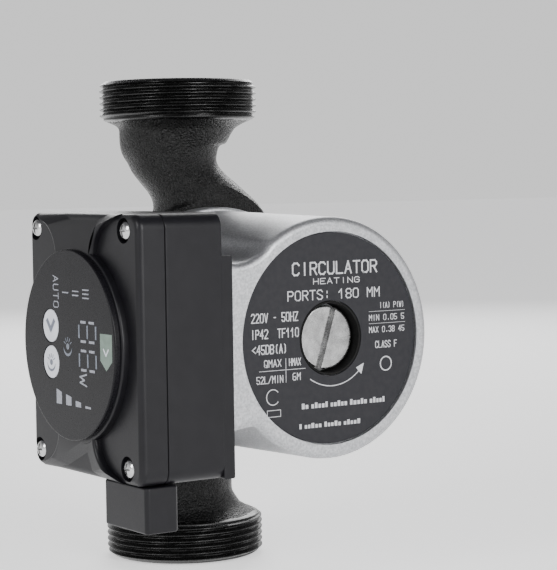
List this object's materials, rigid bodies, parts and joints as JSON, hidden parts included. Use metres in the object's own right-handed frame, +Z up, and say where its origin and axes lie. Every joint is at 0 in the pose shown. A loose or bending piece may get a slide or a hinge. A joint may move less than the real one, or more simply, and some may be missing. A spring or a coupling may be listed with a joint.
{
  "type": "circulator pump",
  "caption": "In-line wet-rotor circulator pump: cast body with two threaded ports, round motor with a vent screw, and a side control box with a display and keys.",
  "frame": {"origin": "centre of the lower port's sealing face", "axes": "+Z up through both ports, the motor's axis points towards -Y, the control box is on -X"},
  "size_m": [0.1272, 0.1303, 0.18],
  "materials": {
    "casting": "black coated rough casting",
    "die_cast": "fine grained die casting",
    "steel": "bright steel",
    "stainless": "pressed stainless steel",
    "magnet": "dark magnet",
    "lamination": "stacked sheet steel",
    "copper": "lacquered copper wire",
    "brass": "plain brass",
    "ceramic": "polished ceramic",
    "rubber": "matt rubber",
    "label": "matt dark plate with light print",
    "black_plastic": "satin black moulding",
    "impeller_plastic": "glass filled plastic",
    "lens": "satin dark lens",
    "key": "white moulding",
    "board": "green circuit board",
    "dark_plastic": "dark component plastic",
    "pad": "soft thermal pad"
  },
  "bodies": {
    "pump": {"pump_body": "casting", "neck_ring": "brass", "casing_seal": "rubber", "bearing_plate": "stainless", "rotor_can": "stainless", "front_bearing": "ceramic", "rear_bearing": "ceramic", "stator_core": "lamination", "winding_rear": "copper", "winding_front": "copper", "motor_housing": "die_cast", "housing_screw_1": "steel", "housing_screw_2": "steel", "housing_screw_3": "steel", "housing_screw_4": "steel", "nameplate": "label", "box_base": "black_plastic", "box_gasket": "rubber", "box_cover": "black_plastic", "cover_screw_1": "steel", "cover_screw_2": "steel", "cover_screw_3": "steel", "cover_screw_4": "steel", "display_lens": "lens", "switch_mode": "dark_plastic", "switch_night": "dark_plastic", "display_board": "board", "digit_tens": "dark_plastic", "digit_units": "dark_plastic", "main_board": "board", "filter_capacitor": "dark_plastic", "choke": "copper", "power_module": "dark_plastic", "motor_plug": "key", "heat_pad": "pad", "inlet_shell": "black_plastic", "pin_live": "brass", "pin_earth": "brass", "pin_neutral": "brass"},
    "rotor": {"rotor_shaft": "ceramic", "rotor_core": "magnet", "thrust_ring": "ceramic", "impeller": "impeller_plastic", "impeller_shroud": "impeller_plastic"},
    "vent_seal": {"vent_seal": "rubber"},
    "vent_screw": {"vent_screw": "steel"},
    "key_mode": {"key_mode": "key"},
    "key_night": {"key_night": "key"}
  },
  "joints": [
    {"name": "rotor_spin", "type": "hinge", "parent": "pump", "child": "rotor", "pos_m": [0, 0, 0.088], "axis": [0, -1, 0], "continuous": true},
    {"name": "vent_slide", "type": "slide", "parent": "pump", "child": "vent_seal", "axis": [0, -1, 0], "range_m": [0, 0.0046]},
    {"name": "vent_turn", "type": "hinge", "parent": "vent_seal", "child": "vent_screw", "pos_m": [0, 0, 0.088], "axis": [0, -1, 0], "range_deg": [0, 1080]},
    {"name": "key_mode_press", "type": "slide", "parent": "pump", "child": "key_mode", "axis": [1, 0, 0], "range_m": [0, 0.0006], "stiffness_N_per_m": 1500},
    {"name": "key_night_press", "type": "slide", "parent": "pump", "child": "key_night", "axis": [1, 0, 0], "range_m": [0, 0.0006], "stiffness_N_per_m": 1500}
  ],
  "couplings": [
    {"joint": "vent_slide", "follows": "vent_turn", "m_per_rad": 0.00023873}
  ]
}
